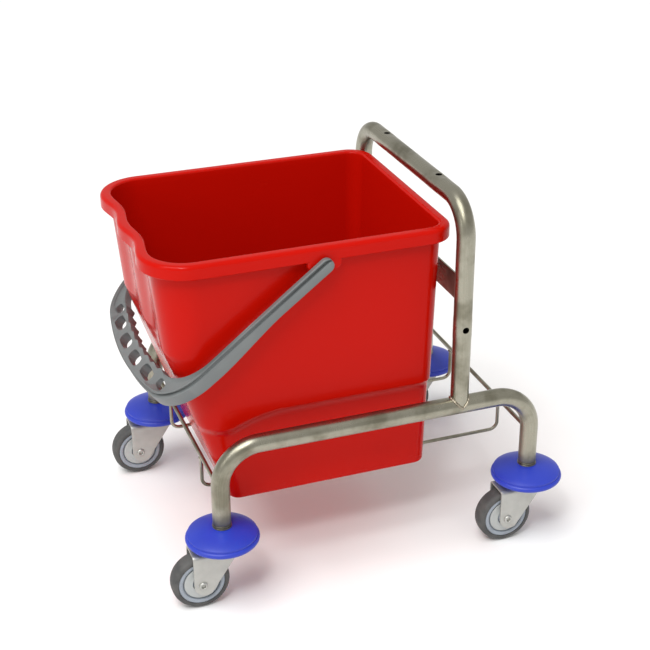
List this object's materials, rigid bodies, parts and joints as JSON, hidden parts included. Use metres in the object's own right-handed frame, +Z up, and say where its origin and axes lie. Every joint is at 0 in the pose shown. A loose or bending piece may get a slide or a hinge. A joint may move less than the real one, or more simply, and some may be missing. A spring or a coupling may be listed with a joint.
{
  "type": "mop bucket trolley",
  "caption": "Open rectangular mop bucket with a bail handle, lifting out of a tubular trolley with an upright push handle and swivel castors with bumper discs.",
  "frame": {"origin": "on the floor under the middle of the trolley's overall footprint", "axes": "+X from the bail side (front) to the push handle (rear), +Y to the trolley's left, +Z up"},
  "size_m": [0.5818, 0.46, 0.5355],
  "materials": {
    "frame_steel": "satin stainless tube and wire",
    "bucket_plastic": "glossy red moulded",
    "handle_plastic": "mid grey moulded",
    "bumper_plastic": "soft blue moulded",
    "tyre_rubber": "dark grey non-marking",
    "core_plastic": "light grey moulded",
    "zinc_steel": "bright zinc plated pressing"
  },
  "bodies": {
    "frame": {"ball_race_front_left": "zinc_steel", "ball_race_front_right": "zinc_steel", "ball_race_rear_left": "zinc_steel", "ball_race_rear_right": "zinc_steel", "bumper_disc_front_left": "bumper_plastic", "bumper_disc_front_right": "bumper_plastic", "bumper_disc_rear_left": "bumper_plastic", "bumper_disc_rear_right": "bumper_plastic", "cradle_wire_left": "frame_steel", "cradle_wire_right": "frame_steel", "cross_rod_front": "frame_steel", "cross_rod_rear": "frame_steel", "cross_strip": "frame_steel", "push_handle": "frame_steel", "side_rail_left": "frame_steel", "side_rail_right": "frame_steel", "stem_front_left": "zinc_steel", "stem_front_right": "zinc_steel", "stem_plug_front_left": "zinc_steel", "stem_plug_front_right": "zinc_steel", "stem_plug_rear_left": "zinc_steel", "stem_plug_rear_right": "zinc_steel", "stem_rear_left": "zinc_steel", "stem_rear_right": "zinc_steel"},
    "bucket": {"bucket": "bucket_plastic"},
    "bail": {"bail_handle": "handle_plastic"},
    "swivel_front_left": {"fork_front_left": "zinc_steel", "axle_bush_front_left": "zinc_steel", "axle_bolt_front_left": "zinc_steel", "axle_nut_front_left": "zinc_steel"},
    "wheel_front_left": {"wheel_core_front_left": "core_plastic", "tyre_front_left": "tyre_rubber", "guard_inner_front_left": "core_plastic", "guard_outer_front_left": "core_plastic"},
    "swivel_front_right": {"fork_front_right": "zinc_steel", "axle_bush_front_right": "zinc_steel", "axle_bolt_front_right": "zinc_steel", "axle_nut_front_right": "zinc_steel"},
    "wheel_front_right": {"wheel_core_front_right": "core_plastic", "tyre_front_right": "tyre_rubber", "guard_inner_front_right": "core_plastic", "guard_outer_front_right": "core_plastic"},
    "swivel_rear_left": {"fork_rear_left": "zinc_steel", "axle_bush_rear_left": "zinc_steel", "axle_bolt_rear_left": "zinc_steel", "axle_nut_rear_left": "zinc_steel"},
    "wheel_rear_left": {"wheel_core_rear_left": "core_plastic", "tyre_rear_left": "tyre_rubber", "guard_inner_rear_left": "core_plastic", "guard_outer_rear_left": "core_plastic"},
    "swivel_rear_right": {"fork_rear_right": "zinc_steel", "axle_bush_rear_right": "zinc_steel", "axle_bolt_rear_right": "zinc_steel", "axle_nut_rear_right": "zinc_steel"},
    "wheel_rear_right": {"wheel_core_rear_right": "core_plastic", "tyre_rear_right": "tyre_rubber", "guard_inner_rear_right": "core_plastic", "guard_outer_rear_right": "core_plastic"}
  },
  "joints": [
    {"name": "bucket_lift", "type": "slide", "parent": "frame", "child": "bucket", "axis": [-0.3173, 0, 0.9483], "range_m": [0, 0.44]},
    {"name": "bail_hinge", "type": "hinge", "parent": "bucket", "child": "bail", "pos_m": [-0.05708, 0, 0.467], "axis": [0, 1, 0], "range_deg": [0, 190]},
    {"name": "swivel_front_left", "type": "hinge", "parent": "frame", "child": "swivel_front_left", "pos_m": [-0.20908, 0.18, 0.09], "axis": [0, 0, 1], "continuous": true},
    {"name": "wheel_spin_front_left", "type": "hinge", "parent": "swivel_front_left", "child": "wheel_front_left", "pos_m": [-0.24308, 0.18, 0.04], "axis": [0, 1, 0], "continuous": true},
    {"name": "swivel_front_right", "type": "hinge", "parent": "frame", "child": "swivel_front_right", "pos_m": [-0.20908, -0.18, 0.09], "axis": [0, 0, 1], "continuous": true},
    {"name": "wheel_spin_front_right", "type": "hinge", "parent": "swivel_front_right", "child": "wheel_front_right", "pos_m": [-0.24308, -0.18, 0.04], "axis": [0, 1, 0], "continuous": true},
    {"name": "swivel_rear_left", "type": "hinge", "parent": "frame", "child": "swivel_rear_left", "pos_m": [0.24092, 0.18, 0.09], "axis": [0, 0, 1], "continuous": true},
    {"name": "wheel_spin_rear_left", "type": "hinge", "parent": "swivel_rear_left", "child": "wheel_rear_left", "pos_m": [0.20692, 0.18, 0.04], "axis": [0, 1, 0], "continuous": true},
    {"name": "swivel_rear_right", "type": "hinge", "parent": "frame", "child": "swivel_rear_right", "pos_m": [0.24092, -0.18, 0.09], "axis": [0, 0, 1], "continuous": true},
    {"name": "wheel_spin_rear_right", "type": "hinge", "parent": "swivel_rear_right", "child": "wheel_rear_right", "pos_m": [0.20692, -0.18, 0.04], "axis": [0, 1, 0], "continuous": true}
  ]
}
